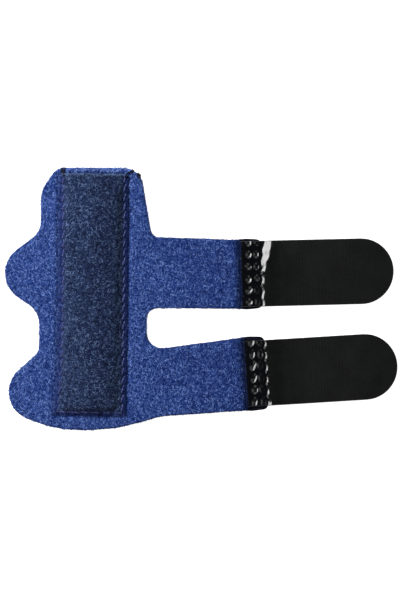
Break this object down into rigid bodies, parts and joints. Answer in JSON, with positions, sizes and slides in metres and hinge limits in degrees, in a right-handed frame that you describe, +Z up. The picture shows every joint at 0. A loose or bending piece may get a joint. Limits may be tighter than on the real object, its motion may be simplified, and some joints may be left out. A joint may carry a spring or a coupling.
{
  "type": "finger splint",
  "caption": "Flat wrap-around finger splint: padded loop-cloth panel with lobes and strap arms, a stay sleeve down the middle and hook tabs on the arms.",
  "frame": {"origin": "middle of the splint's footprint, on the surface that it lies on", "axes": "+Z up through the splint's thickness, +Y along the finger towards the neck, +X along the arms towards the hook tabs"},
  "size_m": [0.1214, 0.081, 0.0064],
  "materials": {
    "blue_loop_cloth": "brushed loop pile",
    "navy_felt": "brushed loop pile",
    "stay_aluminium": "satin",
    "black_hook_plastic": "satin"
  },
  "bodies": {
    "root": {"panel": "blue_loop_cloth", "sleeve": "navy_felt", "stay_bar": "stay_aluminium", "upper_hook_tab": "black_hook_plastic", "lower_hook_tab": "black_hook_plastic"}
  },
  "joints": []
}
